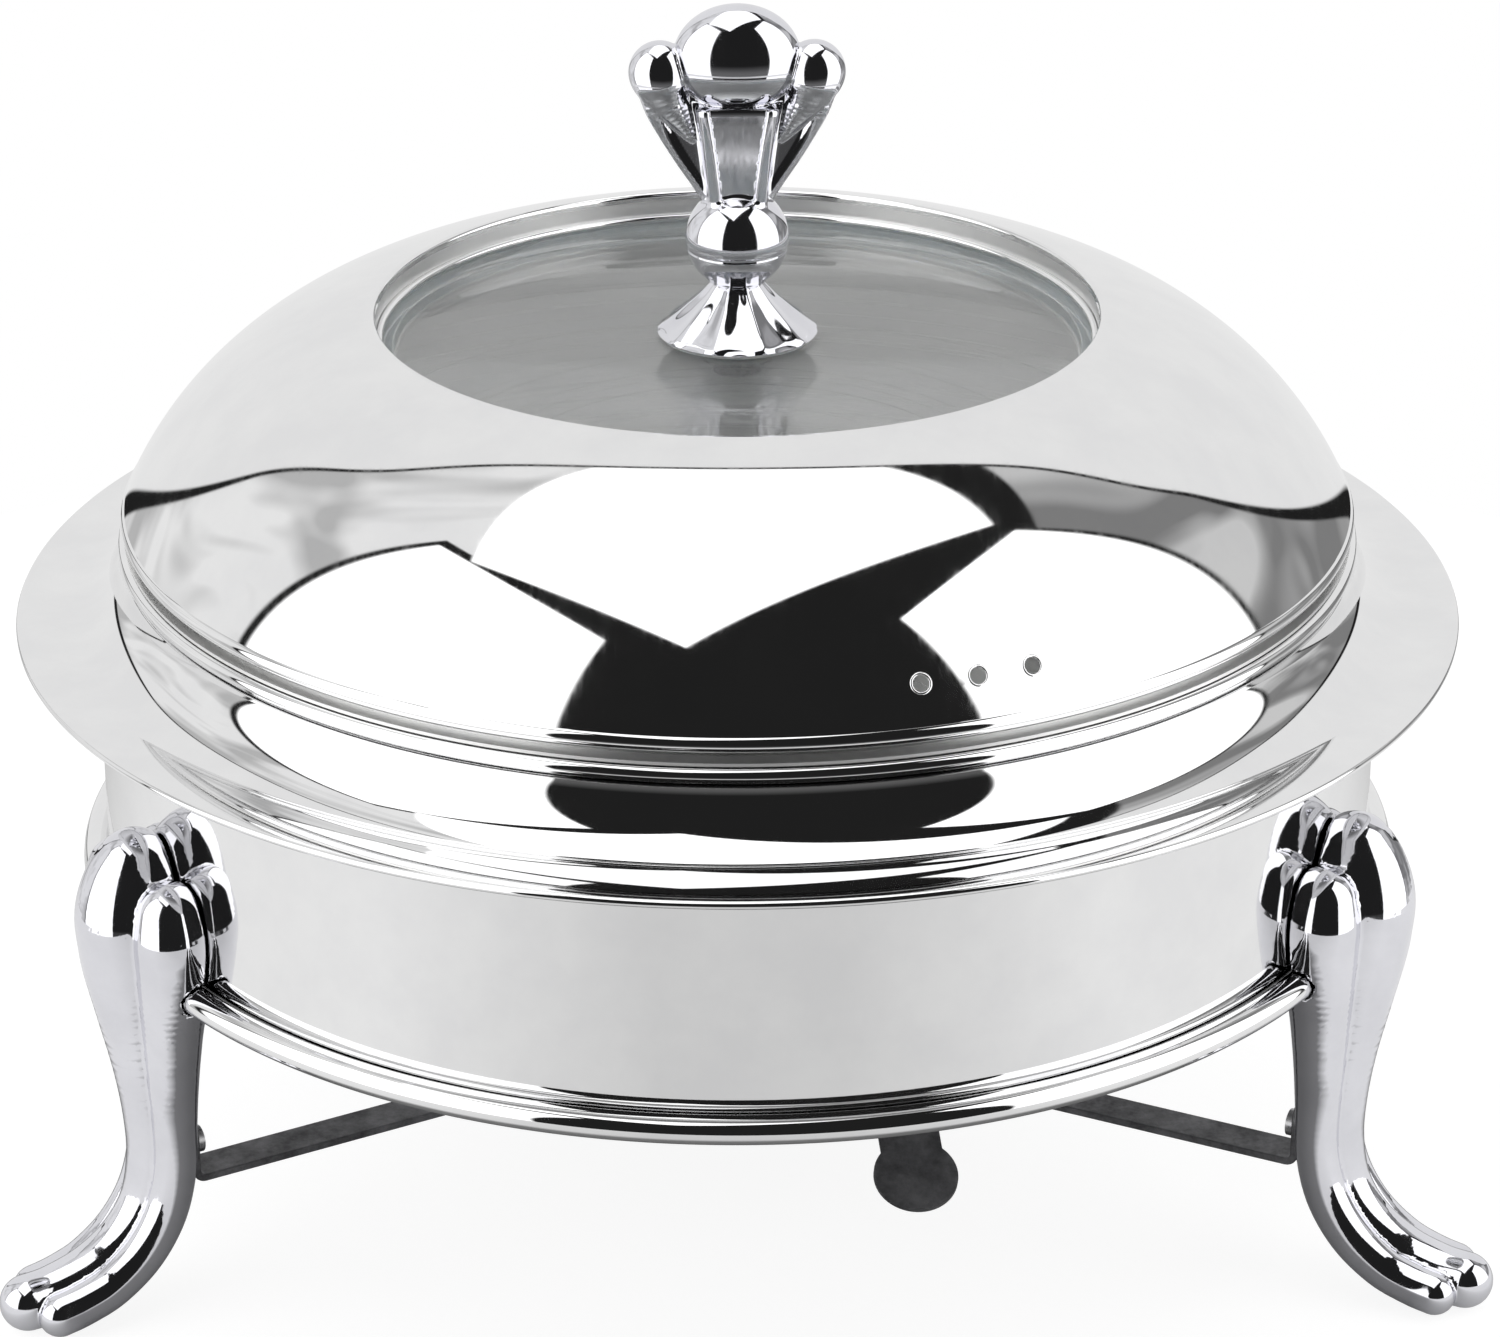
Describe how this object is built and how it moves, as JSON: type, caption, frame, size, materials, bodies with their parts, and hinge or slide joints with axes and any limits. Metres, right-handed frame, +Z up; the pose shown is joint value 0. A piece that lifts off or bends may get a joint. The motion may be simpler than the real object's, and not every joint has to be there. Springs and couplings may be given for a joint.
{
  "type": "round chafing dish",
  "caption": "Round chafing dish on a cast tripod stand, with a brimmed water pan, food pan, glass-windowed domed lid and a spirit burner with a swing damper below.",
  "frame": {"origin": "on the pan's vertical axis, at the level of the table that the legs stand on", "axes": "+Z up, -Y towards the front, where the two front legs are; +X to the right seen from the front"},
  "size_m": [0.3694, 0.3881, 0.3068],
  "materials": {
    "chrome_cast": "polished chrome plate on cast zinc",
    "polished_steel": "mirror-polished stainless steel",
    "satin_steel": "drawn stainless steel, satin inside",
    "dark_strip": "dark pickled steel strip, mill finish",
    "fastener_steel": "zinc-plated fastener",
    "glass": "clear tempered glass, ground edge",
    "silicone": "translucent food-grade silicone",
    "wick": "ceramic fibre felt"
  },
  "bodies": {
    "stand": {"leg_front_left": "chrome_cast", "leg_front_right": "chrome_cast", "leg_rear": "chrome_cast", "support_ring": "polished_steel", "bar_front_left": "dark_strip", "bar_front_right": "dark_strip", "bar_rear": "dark_strip", "bar_screws": "fastener_steel", "burner_plate": "dark_strip", "plate_rivets": "fastener_steel"},
    "water_pan": {"water_pan": "polished_steel", "brim_collar": "polished_steel"},
    "food_pan": {"food_pan": "satin_steel"},
    "lid": {"lid_dome": "polished_steel", "lid_seat_ring": "satin_steel", "window_gasket": "silicone", "window_glass": "glass", "window_snap_ring": "polished_steel", "knob_crown": "chrome_cast", "knob_foot": "chrome_cast", "knob_gasket_upper": "silicone", "knob_gasket_lower": "silicone", "knob_washer": "fastener_steel", "knob_screw": "fastener_steel"},
    "burner": {"burner_cup": "satin_steel", "wick_pad": "wick", "burner_top": "satin_steel", "damper_rivet": "fastener_steel"},
    "damper": {"damper": "dark_strip"}
  },
  "joints": [
    {"name": "water_pan_lift", "type": "slide", "parent": "stand", "child": "water_pan", "axis": [0, 0, 1], "range_m": [0, 0.12]},
    {"name": "food_pan_lift", "type": "slide", "parent": "water_pan", "child": "food_pan", "axis": [0, 0, 1], "range_m": [0, 0.12]},
    {"name": "lid_lift", "type": "slide", "parent": "food_pan", "child": "lid", "axis": [0, 0, 1], "range_m": [0, 0.16]},
    {"name": "burner_pull", "type": "slide", "parent": "stand", "child": "burner", "axis": [0, -1, 0], "range_m": [0, 0.28]},
    {"name": "damper_swing", "type": "hinge", "parent": "burner", "child": "damper", "pos_m": [0.027, 0.019, 0.062], "axis": [0, 0, 1], "range_deg": [-95, 0]}
  ]
}
